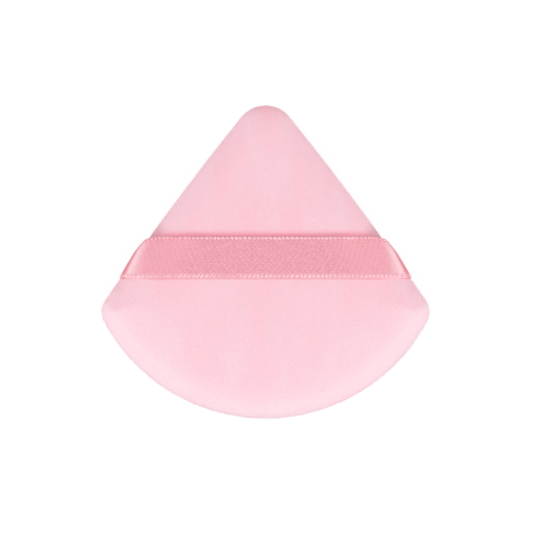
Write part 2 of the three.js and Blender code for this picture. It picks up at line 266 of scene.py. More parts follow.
def paint_ribbon_shade(tree, spot, pink):
    """Paints shade on a pink: a deeper rose beside the ribbon's upper edge, and grey near the ribbon's
    corners.
    """
    x, y, z = add_node(tree, "ShaderNodeSeparateXYZ", {0: spot}).outputs
    front = add_node(tree, "ShaderNodeMath", {0: z, 1: SEAM_HEIGHT * MM}, operation="GREATER_THAN")
    off_edge = add_node(tree, "ShaderNodeMath", {0: y, 1: RIBBON_HIGH_Y * MM}, operation="SUBTRACT")
    apart = add_node(tree, "ShaderNodeMath", {0: off_edge.outputs[0]}, operation="ABSOLUTE")
    marks = [(apart.outputs[0], RIBBON_SHADE_REACH, RIBBON_SHADE_SHARE, RIBBON_SHADE_ROSE)]
    either_side = add_node(tree, "ShaderNodeMath", {0: x}, operation="ABSOLUTE")
    plan = add_node(tree, "ShaderNodeCombineXYZ", {0: either_side.outputs[0], 1: y})
    for place, (reach, shade_share) in CORNER_SHADE_SPOTS.items():
        away = add_node(tree, "ShaderNodeVectorMath", {0: plan.outputs[0], 1: (*(c * MM for c in place), 0)},
                        operation="DISTANCE")
        marks.append((away.outputs["Value"], reach, shade_share, CORNER_SHADE_GREY))
    # Both kinds of mark are painted shade: the deeper rose by the upper edge and the grey near the corners.
    for distance, reach, share, tone in marks:
        on_front = add_node(tree, "ShaderNodeMath", {0: front.outputs[0], 1: share}, operation="MULTIPLY")
        pink = shade_towards(tree, pink, tone, distance, reach * MM, 0.0, on_front.outputs[0], "SMOOTHSTEP")
    return pink


print(f"painted shade reaches {RIBBON_SHADE_REACH} mm, with {len(CORNER_SHADE_SPOTS)} painted shade spots on each side")

# %% [markdown]
# ## Velour
# Velour is a knitted cotton with a short cut pile. The eye reads six things in it: a matt pink, the faintest
# streaks where the pile was stroked another way, a fine grain from the pile's tips, a pale bloom on the rims
# that face the base corners, a deeper pink on the rims that face the apex, and the painted shade beside the
# ribbon. Real hairs could give all of that, but they would be millions and no export could carry them, so
# the shader does. The streaks and the grain are two noises in millimetres. The tufts of real pile are about a
# quarter of a millimetre across, too fine for this picture, so the grain is drawn nearly twice as coarse.
# The bloom is partly the shader's sheen and partly a painted highlight: a paler tint where the cloth faces
# the lamps at the two base corners. The deeper pink where it faces away from them, towards the apex, is
# painted shade.

# %% Make the velour
NAP_STREAK = (5, 14, 14)
STREAK_RANGE = (0.35, 0.65)
PILE_GRAIN = 0.45
GRAIN_DEPTH = 0.12
BASE_LAMP_WAYS = ((-0.65, -0.76, 0), (0.65, -0.76, 0))
PAINTED_BLOOM = (0.28, 0.56, "#fbe5ec")
PAINTED_APEX_SHADE = (-0.5, 0.5, "#f3b3bd")
PILE_SHEEN = "#fff2f5"


def velour_pile():
    """Cut-pile cotton velour: matt, clouded by its nap, with sheen and a painted highlight on the rims facing
    the base lamps, and painted shade towards the apex.
    """
    material, tree = new_material("cotton_velour")
    spot = add_node(tree, "ShaderNodeTexCoord").outputs
    stretched = add_node(tree, "ShaderNodeVectorMath", {0: spot["Object"], 1: [c * MM for c in NAP_STREAK]},
                         operation="DIVIDE")
    cloud = add_node(tree, "ShaderNodeTexNoise",
                     {"Vector": stretched.outputs[0], "Scale": 1.0, "Detail": 3.0}).outputs["Fac"]
    tips = add_node(tree, "ShaderNodeTexNoise",
                    {"Vector": spot["Object"], "Scale": 1 / (PILE_GRAIN * MM), "Detail": 2.0}).outputs["Fac"]
    pink = shade_towards(tree, linear("#f7c4d0"), "#f5cad5", cloud, *STREAK_RANGE)
    # Painted highlight and painted shade: facing the two base-corner lamps picks a paler tint, facing away
    # from them towards the apex a deeper pink.
    leaning = [add_node(tree, "ShaderNodeVectorMath", {0: spot["Normal"], 1: way},
                        operation="DOT_PRODUCT").outputs["Value"] for way in BASE_LAMP_WAYS]
    lamp_facing = add_node(tree, "ShaderNodeMath", {0: leaning[0], 1: leaning[1]}, operation="MAXIMUM").outputs[0]
    for full, share, tone in (PAINTED_BLOOM, PAINTED_APEX_SHADE):
        pink = shade_towards(tree, pink, tone, lamp_facing, 0.0, full, share)
    pink = paint_ribbon_shade(tree, spot["Object"], pink)
    grain = add_node(tree, "ShaderNodeMapRange", {
        "Value": tips, "From Min": 0.3, "From Max": 0.7, "To Min": 0.96, "To Max": 1.02})
    colour = add_node(tree, "ShaderNodeMix", {"Factor": 1.0, "A": pink, "B": grain.outputs[0]},
                      data_type="RGBA", blend_type="MULTIPLY")
    bump = add_node(tree, "ShaderNodeBump", {"Height": tips, "Strength": 0.25, "Distance": GRAIN_DEPTH * MM})
    surface = add_node(tree, "ShaderNodeBsdfPrincipled", {
        "Base Color": colour.outputs["Result"], "Roughness": 0.9, "Specular IOR Level": 0.15,
        "Sheen Weight": 0.35, "Sheen Roughness": 0.45, "Sheen Tint": linear(PILE_SHEEN),
        "Normal": bump.outputs["Normal"]})
    add_node(tree, "ShaderNodeOutputMaterial", {"Surface": surface.outputs[0]})
    return material


velour = velour_pile()
print("made", velour.name)

# %% [markdown]
# ## The outline
# Seen from above, half of the puff is four circles that touch: a wide one for the base, a tight one for the
# side corner, a very wide one for the side, which bows out by half a millimetre, and the apex. A drawn
# curve could be fitted by eye instead, but arcs that touch join smoothly by themselves.

# %% Find the four arcs
WIDEST_FROM_APEX = 47
APEX_RADIUS = 7
CORNER_RADIUS = 4.5
SIDE_BOW = 0.5


def half_outline():
    """The right half's arcs from the base to the apex: centre, radius, first and last angle."""
    apex = Vector((0, HALF_LENGTH - APEX_RADIUS))
    corner = Vector((HALF_WIDTH - CORNER_RADIUS, HALF_LENGTH - WIDEST_FROM_APEX))
    drop = corner.y + HALF_LENGTH
    base_radius = (corner.length_squared - corner.y ** 2 + drop ** 2 - CORNER_RADIUS ** 2)
    base_radius /= 2 * (drop - CORNER_RADIUS)
    base = Vector((0, base_radius - HALF_LENGTH))
    along = corner - apex
    span = along.length
    along.normalize()
    bow_radius = ((span / 2) ** 2 + SIDE_BOW ** 2) / (2 * SIDE_BOW)
    to_apex = bow_radius - APEX_RADIUS
    to_corner = bow_radius - CORNER_RADIUS
    reach = (span ** 2 + to_apex ** 2 - to_corner ** 2) / (2 * span)
    away = math.sqrt(to_apex ** 2 - reach ** 2)
    side = apex + along * reach + Vector((along.y, -along.x)) * away
    bow_top = math.atan2(apex.y - side.y, apex.x - side.x)
    bow_foot = math.atan2(corner.y - side.y, corner.x - side.x)
    base_end = math.atan2(corner.y - base.y, corner.x - base.x)
    return [(base, base_radius, -math.pi / 2, base_end), (corner, CORNER_RADIUS, base_end, bow_foot),
            (side, bow_radius, bow_foot, bow_top), (apex, APEX_RADIUS, bow_top, math.pi / 2)]


arcs = half_outline()
half_edge = sum(radius * (last - first) for _, radius, first, last in arcs)
side_centre, side_radius, side_foot, side_top = arcs[2]
print("radii of the arcs:", [round(radius, 1) for _, radius, _, _ in arcs])

# %% [markdown]
# ## Points round the edge
# The edge is walked at even steps from the middle of the base, all the way round. Each point keeps the
# direction that faces outward, because rings inside the edge are found by stepping in along it.

# %% Walk the outline
STATIONS = 480


def edge_at(share):
    """The edge point at a share of the way round from the middle of the base, and the way it faces."""
    hand = 1 if share <= 1 / 2 else -1
    left = 2 * half_edge * (share if hand == 1 else 1 - share)
    for centre, radius, first, last in arcs:
        length = radius * (last - first)
        if left <= length or last == math.pi / 2:
            break
        left -= length
    angle = first + left / radius
    facing = np.array((math.cos(angle), math.sin(angle)))
    return (np.array(centre) + radius * facing) * (hand, 1), facing * (hand, 1)


edge_points, edge_facing = (np.array(column) for column in
                            zip(*[edge_at(k / STATIONS) for k in range(STATIONS)]))
print(f"the edge is {2 * half_edge:.1f} mm round, in {STATIONS} steps")

# %% [markdown]
# ## The rise of the padded faces
# A foam-filled pad is nearly flat on top and rolls over steeply at its edge. One formula gives both: the
# height grows with the distance in from the edge as a root, fast at first and then hardly at all. Near the
# edge the rings run parallel to it, and further in they shrink evenly towards the middle of the puff.

# %% Work out rings and heights
HEART = HALF_LENGTH
PARALLEL_DEPTH = 3.5
FULLNESS = 5


def ring_shape(inset):
    """How far a ring has stepped in from the edge, and how far it has shrunk after that."""
    parallel = np.minimum(inset, PARALLEL_DEPTH)
    return parallel, 1 - (inset - parallel) / (HEART - PARALLEL_DEPTH)


def ring(inset):
    """The edge's points, moved in."""
    parallel, shrink = ring_shape(inset)
    return (edge_points - parallel * edge_facing) * shrink


def side_x(y, inset):
    """Where a line across the puff at y meets the right-hand side of a ring."""
    parallel, shrink = ring_shape(inset)
    rise = y / shrink - side_centre.y
    return shrink * (side_centre.x + np.sqrt((side_radius - parallel) ** 2 - rise ** 2))


def inset_at(points):
    """How far in from the edge points of the inner face lie."""
    limit = ring(PARALLEL_DEPTH)
    order = np.argsort(np.arctan2(limit[:, 1], limit[:, 0]))
    angles = np.arctan2(points[:, 1], points[:, 0])
    limit_angles = np.arctan2(limit[order, 1], limit[order, 0])
    reach = np.interp(angles, limit_angles, np.hypot(*limit[order].T), period=2 * math.pi)
    return PARALLEL_DEPTH + (1 - np.hypot(*points.T) / reach) * (HEART - PARALLEL_DEPTH)


def pad_height(inset, swell, depth=0.0):
    """Height over the seam of a face, or of a layer that lies a depth below it."""
    share = np.maximum(0, np.asarray(inset) - depth) / (HEART - depth)
    return BULGE + (swell - depth - BULGE) * np.sqrt(1 - (1 - share) ** FULLNESS)


for inset in (0, 1, 4, 10):
    print(f"{inset} mm in from the edge the front is {pad_height(inset, FRONT_SWELL):.2f} mm over the seam")

# %% [markdown]
# ## Where the ribbon presses
# The puff widens below the ribbon, so its lower edge is pulled tight over the rolled edge and sinks into
# the pile, while its upper edge only lies on it. The velour needs that dent as much as the ribbon does, so
# it is one function of the place on the rolled edge, which both of them use. The pile closes again over the
# very edge of the ribbon, so in the velour the dent stops there.

# %% Work out the ribbon's dent
RIBBON_SINK = 0.4
RIBBON_SINK_REACH = 7
PILE_COVER = 0.8


def ribbon_dent(y, inset, height):
    """How far the ribbon sinks into the rolled edge."""
    across = np.clip(1 - (y - RIBBON_LOW_Y) / RIBBON_WIDTH, 0, 1)
    fade = np.clip(1 - np.maximum(0, inset) / RIBBON_SINK_REACH, 0, 1)
    return RIBBON_SINK * across * fade * np.clip(height / BULGE, 0, 1)


def velour_dent(y, inset, height):
    """How far the velour gives way under the ribbon."""
    return ribbon_dent(y, inset, height) * np.clip((y - RIBBON_LOW_Y) / PILE_COVER, 0, 1)


print(f"the ribbon sinks {ribbon_dent(RIBBON_LOW_Y, 0.0, BULGE):.2f} mm at its lower edge")

# %% [markdown]
# ## Small helpers for meshes
# Every piece here is worked out as rows of points in millimetres. Quads between neighbouring rows make the
# surface, and where it is cloth a Solidify modifier gives it a thickness: inwards only, or half to each
# side.

# %% Turn rows of points into pieces
def make_piece(name, points, faces, material):
    """A smooth-shaded mesh object from points in millimetres."""
    mesh = bpy.data.meshes.new(name)
    mesh.from_pydata((np.asarray(points) * MM).tolist(), [], faces)
    mesh.materials.append(material)
    mesh.shade_smooth()
    made = bpy.data.objects.new(name, mesh)
    bpy.context.scene.collection.objects.link(made)
    return made


def thicken(piece, thickness, offset):
    """Gives a sheet its thickness: an offset of -1 is inwards, and 0 is half to each side."""
    body = piece.modifiers.new("cloth_thickness", "SOLIDIFY")
    body.thickness = thickness * MM
    body.offset = offset


def strip_faces(rows, columns, closed):
    """Quads between rows of points, all facing the same way."""
    last = columns if closed else columns - 1
    quads = []
    for here in range(0, (rows - 1) * columns, columns):
        for i in range(last):
            j = (i + 1) % columns
            quads.append((here + i, here + j, here + columns + j, here + columns + i))
    return quads


print("two rows round the edge are joined by", len(strip_faces(2, STATIONS, closed=True)), "quads")

# %% [markdown]
# ## The profile of a panel
# Each velour panel is one sheet: its face, the edge rolled under to the seam, and the allowance turned
# inside. Rings of points follow the roll closely, because that is where the light changes. They crowd
# together where the roll is steepest. The stitches draw the lips of the seam in at even steps, which
# puckers them a little.

# %% Draw a panel's profile
SEAM_DRAW = 0.9
SEAM_GAP = 0.06
ALLOWANCE = 4.0
ALLOWANCE_FACE = 0.42
ALLOWANCE_ROWS = 4
CURL_STEPS = 8
ROLL_REACH = 9.0
ROLL_ROWS = 16
CROWDING = 1.8
PUCKER = 0.12
PUCKERS = 72


def crowded(reach, steps):
    """Distances from 0 to a reach, closer together at first."""
    return reach * (np.arange(steps + 1) / steps) ** CROWDING


def panel_profile(swell):
    """(inset, height) from the cut edge inside, out round the lip and up over the rolled edge."""
    turned = SEAM_DRAW + ALLOWANCE * (1 - np.arange(ALLOWANCE_ROWS) / ALLOWANCE_ROWS)
    angles = np.linspace(math.pi / 2, 0, CURL_STEPS + 1)
    curl = np.column_stack((SEAM_DRAW * (1 - np.cos(angles)), BULGE - (BULGE - SEAM_GAP) * np.sin(angles)))
    roll = crowded(ROLL_REACH, ROLL_ROWS)[1:]
    return np.vstack((np.column_stack((turned, np.full(ALLOWANCE_ROWS, ALLOWANCE_FACE))), curl,
                      np.column_stack((roll, pad_height(roll, swell)))))


def seam_pucker(height):
    """How far each station is drawn in by the stitches: the lip between two of them stands proud."""
    near_seam = max(0, 1 - height / BULGE)
    return PUCKER * near_seam * np.cos(2 * math.pi * PUCKERS * np.arange(STATIONS) / STATIONS)


def lengths_along(points):
    """Distance walked at each point of a line."""
    return np.concatenate(([0], np.cumsum(np.linalg.norm(np.diff(points, axis=0), axis=1))))


cloth_round_edge = lengths_along(panel_profile(FRONT_SWELL))[-1]
print(f"from the flat to its cut edge the front takes {cloth_round_edge:.1f} mm of cloth")

# %% [markdown]
# ## The middle of a face
# The wide middle is nearly flat, and there even triangles are kinder to the shading than rings that crowd
# together. So it is filled with the triangles that best join a honeycomb of points, for both panels alike.

# %% Fill the middle of a face
CELL = 1.0
INSIDE_ONLY = 1
SAME_POINT = 1e-6


def honeycomb(inset, cell):
    """Points spread evenly inside a ring, and the triangles over the ring and them."""
    outer = ring(inset)
    xs = np.arange(-HALF_WIDTH, HALF_WIDTH, cell)
    ys = np.arange(-HALF_LENGTH, HALF_LENGTH, cell * math.sqrt(3) / 2)
    grid = np.array([(x + cell / 2 * (row % 2), y) for row, y in enumerate(ys) for x in xs])
    inside = grid[inset_at(grid) > inset + cell / 2]
    points = [Vector(point) for point in np.vstack((outer, inside))]
    around = [list(range(STATIONS))]
    _, _, triangles, origins, _, _ = delaunay_2d_cdt(points, [], around, INSIDE_ONLY, SAME_POINT)
    first_of = [sources[0] for sources in origins]
    return inside, [tuple(first_of[v] for v in triangle) for triangle in triangles]


face_points, face_triangles = honeycomb(ROLL_REACH, CELL)
print(len(face_triangles), "triangles fill the middle of a face")

# %% [markdown]
# ## The swelling of a panel
# The sponge presses the sheet out, and a formula can only guess how. So the middle of each face starts a
# little slack and is then blown up by Blender's Cloth with pressure and no gravity, while the seam and the
# roll are held. Cloth expects things of the size of clothes, so this runs on a copy that is twenty times as
# large, and only its result is kept, with a limit to how far a point may move. The rings meet in faint
# ridges that run in from the corners, and a Smooth modifier levels them first, in height alone.

# %% Press a sheet out as cloth
RIDGE_PASSES = 60
RIDGE_EASE = 0.5
SWELL_SCALE = 20
SWELL_PRESSURE = 1.2
SWELL_FRAMES = 20
SWELL_CAP = 1.5


def swell_as_cloth(points, faces, held):
    """Points of a sheet whose middle is pressed out as cloth: held says how firmly each point stays put."""
    sheet = make_piece("swelling_sheet", points * SWELL_SCALE, faces, velour)
    held_group = sheet.vertex_groups.new(name="held")
    for vertex, weight in enumerate(held):
        held_group.add([vertex], weight, "REPLACE")
    level = sheet.modifiers.new("level_ridges", "SMOOTH")
    level.vertex_group = "held"
    level.invert_vertex_group = True
    level.use_x = level.use_y = False
    level.factor = RIDGE_EASE
    level.iterations = RIDGE_PASSES
    cloth = sheet.modifiers.new("press_out", "CLOTH")
    cloth.settings.vertex_group_mass = "held"
    cloth.settings.use_pressure = True
    cloth.settings.uniform_pressure_force = SWELL_PRESSURE
    cloth.settings.effector_weights.gravity = 0
    cloth.point_cache.frame_start = 1
    cloth.point_cache.frame_end = SWELL_FRAMES
    for step in range(1, SWELL_FRAMES + 1):
        bpy.context.scene.frame_set(step)
    shaped = sheet.evaluated_get(bpy.context.evaluated_depsgraph_get()).data
    after = np.empty(3 * len(points))
    shaped.vertices.foreach_get("co", after)
    moved = after.reshape(-1, 3) / (SWELL_SCALE * MM) - points
    bpy.data.objects.remove(sheet)
    bpy.context.scene.frame_set(1)
    far = np.linalg.norm(moved, axis=1)
    print(f"the cloth rose {far.max():.2f} mm at most")
    return points + moved * np.minimum(1, SWELL_CAP / np.maximum(far, SWELL_CAP))[:, None]


print(f"a sheet swells for {SWELL_FRAMES} frames, and no point moves over {SWELL_CAP} mm")

# %% [markdown]
# ## The velour panels
# Front and back are made alike: the rows of the profile are laid round the edge, the honeycomb fills the
# middle, and the sheet swells. Only the front gives way under the ribbon. Below, the floor stops the
# swelling, so the powder side ends flat where it lies.

# %% Build the panels
HELD_DEPTH = (2.0, 9.0)
SLACK = 0.9
SLACK_DEPTH = (9.0, 20.0)
VELOUR_THICKNESS = 0.5


def velour_panel(name, swell, side):
    """One panel: side is 1 for the front and -1 for the back."""
    profile = panel_profile(swell)
    rows = []
    for inset, height in profile:
        flat = ring(inset)
        drawn = seam_pucker(height)
        if side == 1:
            drawn = drawn + velour_dent(flat[:, 1], inset, height)
        flat = flat - edge_facing * drawn[:, None]
        rows.append(np.column_stack((flat, np.full(STATIONS, height))))
    insets = inset_at(face_points)
    heights = pad_height(insets, swell) - SLACK * np.interp(insets, SLACK_DEPTH, (0, 1))
    points = np.vstack((*rows, np.column_stack((face_points, heights))))
    points[:, 2] = SEAM_HEIGHT + side * points[:, 2]
    first = (len(rows) - 1) * STATIONS
    faces = strip_faces(len(rows), STATIONS, closed=True)
    faces += [tuple(first + v for v in triangle) for triangle in face_triangles]
    faces = [face[::side] for face in faces]
    row_insets = [inset if height > BULGE else 0 for inset, height in profile]
    depths = np.concatenate((np.repeat(row_insets, STATIONS), insets))
    points = swell_as_cloth(points, faces, np.interp(depths, HELD_DEPTH, (1, 0)))
    points[:, 2] = np.maximum(points[:, 2], 0)
    panel = make_piece(name, points, faces, velour)
    thicken(panel, VELOUR_THICKNESS, -1)
    return panel


velour_front = velour_panel("velour_front", FRONT_SWELL, 1)
velour_back = velour_panel("velour_back", BACK_SWELL, -1)
for panel, node, swell in ((velour_front, "front_velour", FRONT_SWELL),
                           (velour_back, "back_velour", BACK_SWELL)):
    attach(panel, "pad")
    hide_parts(node)

# %% [markdown]
# ## The pile at the rolled edge
# Against the light, velour has no sharp outline: the tips of its pile stand out from it as a soft fringe.
# On the faces one looks down on the tips and the material's grain is enough, but round the rolled edge they
# are made one by one, as slim closed cones whose roots sit in the cloth. Real fibres are a few hundredths
# of a millimetre thick, far below what this picture can show, so there are fewer of them and they are
# thicker. A seeded generator scatters them, so that every run gives the same fringe. None grow under the
# ribbon.

# %% Scatter the fibres
FIBRES_PER_PANEL = 6000
FIBRE_LENGTH = (0.15, 0.38)
FIBRE_RADIUS = 0.035
FIBRE_ROOT = 0.06
FIBRE_LEAN = 0.45
FRINGE_REACH = 0.8
FRINGE_SEED = 5
ASKEW = (0.3, 0.5, 0.8)


def closed_round(points):
    """Points of a ring, with the first one again at the end."""
    return np.vstack((points, points[:1]))


def read_at(distances, walk, table):
    """Rows of a table, read off at distances along its walk."""
    return np.column_stack([np.interp(distances, walk, column) for column in table.T])


def unit(vectors):
    """Vectors, one in each row, brought to a length of 1."""
    return vectors / np.linalg.norm(vectors, axis=1)[:, None]


def fringe_points(swell, side, scatter):
    """Three points round the root and one at the tip of each of a panel's fibres."""
    profile = panel_profile(swell)[ALLOWANCE_ROWS + 1:]
    profile = profile[profile[:, 0] < FRINGE_REACH]
    walk = lengths_along(profile)
    along = scatter.uniform(0, walk[-1], FIBRES_PER_PANEL)
    inset, height = read_at(along, walk, profile).T
    inwards, upwards = read_at(along, walk, np.gradient(profile, walk, axis=0)).T
    station = scatter.uniform(0, STATIONS, FIBRES_PER_PANEL)
    edge, facing = (read_at(station, np.arange(STATIONS + 1), closed_round(table))
                    for table in (edge_points, edge_facing))
    parallel, shrink = ring_shape(inset)
    flat = (edge - parallel[:, None] * facing) * shrink[:, None]
    normal = np.column_stack((facing * upwards[:, None], inwards))
    roots = np.column_stack((flat, height))
    clear = np.abs(flat[:, 1] - RIBBON_LOW_Y - RIBBON_WIDTH / 2) > RIBBON_WIDTH / 2 + FIBRE_LENGTH[1]
    kept = clear | (side == -1)
    lean = scatter.normal(0, FIBRE_LEAN, (FIBRES_PER_PANEL, 3))
    reach = scatter.uniform(*FIBRE_LENGTH, FIBRES_PER_PANEL)
    ways = unit(normal + lean)
    first = unit(np.cross(ways, ASKEW))
    second = np.cross(ways, first)
    buried = roots - FIBRE_ROOT * normal
    points = [buried + FIBRE_RADIUS * (math.cos(turn) * first + math.sin(turn) * second)
              for turn in (0, 2 * math.pi / 3, 4 * math.pi / 3)]
    points.append(roots + reach[:, None] * ways)
    cones = np.stack(points, axis=1)[kept]
    cones[..., 2] = SEAM_HEIGHT + side * cones[..., 2]
    return cones[:, (0, 2, 1, 3)] if side == -1 else cones


scatter = np.random.default_rng(FRINGE_SEED)
cones = np.vstack([fringe_points(swell, side, scatter)
                   for swell, side in ((FRONT_SWELL, 1), (BACK_SWELL, -1))])
print(len(cones), "fibres in the fringe")

# %% [markdown]
# ## The fringe
# The loose tips are the same cotton as the velour. Light shines through them, so they look paler than the
# cloth, and they took the dye unevenly, which a noise of the pile's own grain gives.

# %% Grow the fringe
CONE_FACES = ((0, 1, 3), (1, 2, 3), (2, 0, 3), (2, 1, 0))


def pile_tips():
    """The velour's loose fibre ends: the same cotton, paler because the light shines through them."""
    material, tree = new_material("cotton_pile_tips")
    spot = add_node(tree, "ShaderNodeTexCoord").outputs
    dye = add_node(tree, "ShaderNodeTexNoise", {"Vector": spot["Object"], "Scale": 1 / (PILE_GRAIN * MM)})
    pink = add_node(tree, "ShaderNodeMix", {
        "Factor": dye.outputs["Fac"], "A": linear("#f5c5d1"), "B": linear("#fde1e9")}, data_type="RGBA")
    surface = add_node(tree, "ShaderNodeBsdfPrincipled", {
        "Base Color": pink.outputs["Result"], "Roughness": 0.9, "Specular IOR Level": 0.15,
        "Sheen Weight": 0.3, "Sheen Roughness": 0.5, "Sheen Tint": linear(PILE_SHEEN)})
    add_node(tree, "ShaderNodeOutputMaterial", {"Surface": surface.outputs[0]})
    return material


fringe_faces = [tuple(cones.shape[1] * k + v for v in face) for k in range(len(cones)) for face in CONE_FACES]
fringe = make_piece("pile_fringe", cones.reshape(-1, 3), fringe_faces, pile_tips())
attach(fringe, "pad")
print(fringe.name, "has", len(fringe_faces), "faces")

# %% [markdown]
# ## The grain of satin
# The ribbon is a polyester satin: long warp threads float over the weft, so most of what shows lies along
# the ribbon and shines softly. Where the threads dive under a weft the light is lost, and these dips give
# the fine restless grain that one sees. They line up in two slants, as faint checks. An image of the weave
# would repeat and blur, so noises and waves make it. Real threads lie about a tenth of a millimetre apart,
# too fine for this picture, so dips, checks and ribs are drawn several times as coarse.

# %% Line up the dips of the satin
FLOAT_SIZE = (0.36, 0.26)
CHECK_PITCH = 1.24
CHECK_SHARE = 0.5
SLUB = 1.6
SLUB_SHARE = 0.25
LIT_RANGE = (0.1, 1.4)
# A Wave texture of scale 1 repeats after pi / 10, and a diagonal one after twice that along each axis.
STRAIGHT_WAVE = math.pi / 10
DIAGONAL_WAVE = math.pi / 5


def diagonal_checks(tree, place):
    """The two slants in which the satin's dips line up, multiplied to faint checks."""
    slants = []
    for lean in (1, -1):
        leaning = add_node(tree, "ShaderNodeVectorMath", {0: place, 1: (1, lean, 0)}, operation="MULTIPLY")
        slants.append(add_node(tree, "ShaderNodeTexWave", {
            "Vector": leaning.outputs[0], "Scale": DIAGONAL_WAVE / CHECK_PITCH, "Distortion": 1.2,
            "Detail": 1.0}, bands_direction="DIAGONAL").outputs["Fac"])
    return add_node(tree, "ShaderNodeMath", {0: slants[0], 1: slants[1]}, operation="MULTIPLY").outputs[0]


def satin_grain(tree, place):
    """How far the floating threads stand up, and the light on them with the checks and the slubs."""
    counted = add_node(tree, "ShaderNodeVectorMath", {0: place, 1: (*FLOAT_SIZE, 1)}, operation="DIVIDE")
    floats = add_node(tree, "ShaderNodeTexNoise", {"Vector": counted.outputs[0], "Scale": 1.0, "Detail": 1.0})
    slubs = add_node(tree, "ShaderNodeTexNoise", {"Vector": place, "Scale": 1 / SLUB, "Detail": 3.0})
    lift = add_node(tree, "ShaderNodeMapRange", {
        "Value": floats.outputs["Fac"], "From Min": 0.3, "From Max": 0.7}).outputs[0]
    checked = add_node(tree, "ShaderNodeMath", {0: diagonal_checks(tree, place), 1: CHECK_SHARE, 2: lift},
                       operation="MULTIPLY_ADD")
    lit = add_node(tree, "ShaderNodeMath", {0: slubs.outputs["Fac"], 1: SLUB_SHARE, 2: checked.outputs[0]},
                   operation="MULTIPLY_ADD")
    return lift, lit.outputs[0]


print(f"floats {FLOAT_SIZE[0]} by {FLOAT_SIZE[1]} mm, checks {CHECK_PITCH} mm apart")

# %% [markdown]
# ## Satin
# The pattern takes its place from an attribute that holds each point's distance along and across the ribbon
# and its height over the seam, so that the weave follows the bends. Six tints follow the same three
# numbers. Towards the ends the satin is painted a little paler, a painted highlight that carries the glint
# of the bend inwards. On the shoulder of the bend a pale band is a painted glint. Where the ribbon turns
# down to the seam, a slanting band of deep rose is painted shade. The lower edge is pale under its wound
# thread, and near the ends it turns rose. The upper woven edge is deeper in colour: partly its own packed
# weave, and partly painted shade where the edge curls down. Where the ribbon bends, its weft shows as faint
# ribs across it, and the woven edges are rougher than the floats between them.

# %% Make the satin
WEFT_PITCH = 0.6
WEFT_SHARE = 0.5
WEAVE_DEPTH = 0.06
SELVEDGE = 0.45
LOWER_BAND = 1.7
TURN_SHADE_HEIGHT = BULGE + 0.4
TURN_SHADE_REACH = (1.6, 0.8)
TURN_SHADE_SLANT = 0.07
GLINT_RISE = (BULGE + 3.3, BULGE + 2.3)
GLINT_SLANT = 0.13
LOWER_ROSE_SLANT = -0.1
LOWER_ROSE_REACH = (-2.4, -2.6)
END_HIGHLIGHT_REACH = (13, 25)
CLOTH_PLACE = "cloth_place"


def woven_satin():
    """Warp-faced polyester satin: a soft shine broken by a grain of dips."""
    material, tree = new_material("polyester_satin")
    place = add_node(tree, "ShaderNodeAttribute", attribute_name=CLOTH_PLACE).outputs["Vector"]
    lift, lit = satin_grain(tree, place)
    along, across, rise = add_node(tree, "ShaderNodeSeparateXYZ", {0: place}).outputs
    off_middle = add_node(tree, "ShaderNodeMath", {0: along}, operation="ABSOLUTE").outputs[0]
    turned, painted_glint, lower_rose_edge = (
        add_node(tree, "ShaderNodeMath", {0: value, 1: slant, 2: level}, operation="MULTIPLY_ADD").outputs[0]
        for value, slant, level in ((across, TURN_SHADE_SLANT, rise), (across, GLINT_SLANT, rise),
                                    (off_middle, LOWER_ROSE_SLANT, across)))
    off_turn = add_node(tree, "ShaderNodeMath", {0: turned, 1: TURN_SHADE_HEIGHT}, operation="SUBTRACT")
    from_turn = add_node(tree, "ShaderNodeMath", {0: off_turn.outputs[0]}, operation="ABSOLUTE").outputs[0]
    pink = shade_towards(tree, linear("#d38292"), "#eea1af", lit, *LIT_RANGE)
    # Painted light among these tints: the paler ends and the pale shoulder band are painted highlights, the
    # deep rose at the turn is painted shade, and the deeper upper edge is partly painted shade.
    for value, start, full, share, tone in (
            (off_middle, *END_HIGHLIGHT_REACH, 0.35, "#f9a9b7"),
            (painted_glint, *GLINT_RISE, 0.55, "#f3d3d8"),
            (from_turn, *TURN_SHADE_REACH, 0.9, "#dc667f"),
            (across, LOWER_BAND, LOWER_BAND / 2, 0.65, "#f4b3bf"),
            (lower_rose_edge, *LOWER_ROSE_REACH, 0.8, "#e0879b"),
            (across, RIBBON_WIDTH - SELVEDGE, RIBBON_WIDTH, 1.0, "#f79fb2")):
        pink = shade_towards(tree, pink, tone, value, start, full, share, "SMOOTHSTEP")
    from_edge = add_node(tree, "ShaderNodeMath", {0: across, 1: RIBBON_WIDTH / 2}, operation="PINGPONG")
    rough = add_node(tree, "ShaderNodeMapRange", {
        "Value": from_edge.outputs[0], "From Min": 0.0, "From Max": SELVEDGE, "To Min": 0.6, "To Max": 0.3})
    weft = add_node(tree, "ShaderNodeTexWave", {
        "Vector": place, "Scale": STRAIGHT_WAVE / WEFT_PITCH, "Distortion": 1.5, "Detail": 2.0})
    ribbed = add_node(tree, "ShaderNodeMath", {0: weft.outputs["Fac"], 1: WEFT_SHARE, 2: lift},
                      operation="MULTIPLY_ADD")
    bump = add_node(tree, "ShaderNodeBump", {
        "Height": ribbed.outputs[0], "Strength": 0.3, "Distance": WEAVE_DEPTH * MM})
    surface = add_node(tree, "ShaderNodeBsdfPrincipled", {
        "Base Color": pink, "Roughness": rough.outputs[0], "Specular IOR Level": 0.7,
        "Normal": bump.outputs["Normal"]})
    add_node(tree, "ShaderNodeOutputMaterial", {"Surface": surface.outputs[0]})
    return material


satin = woven_satin()
print("made", satin.name)

# %% [markdown]
# ## The line that the ribbon takes
# The ribbon leaves the seam between the two panels, turns up round the bulge of the front one, rolls over
# its edge and lies across the pad. Simulated cloth would slide about on such a steep edge, so the line is
# drawn from what is known: it is the pad's own rise, held off by a small clearance. The ribbon's columns of
# points lie closer together at its two edges, where it curls and its edging is wound.

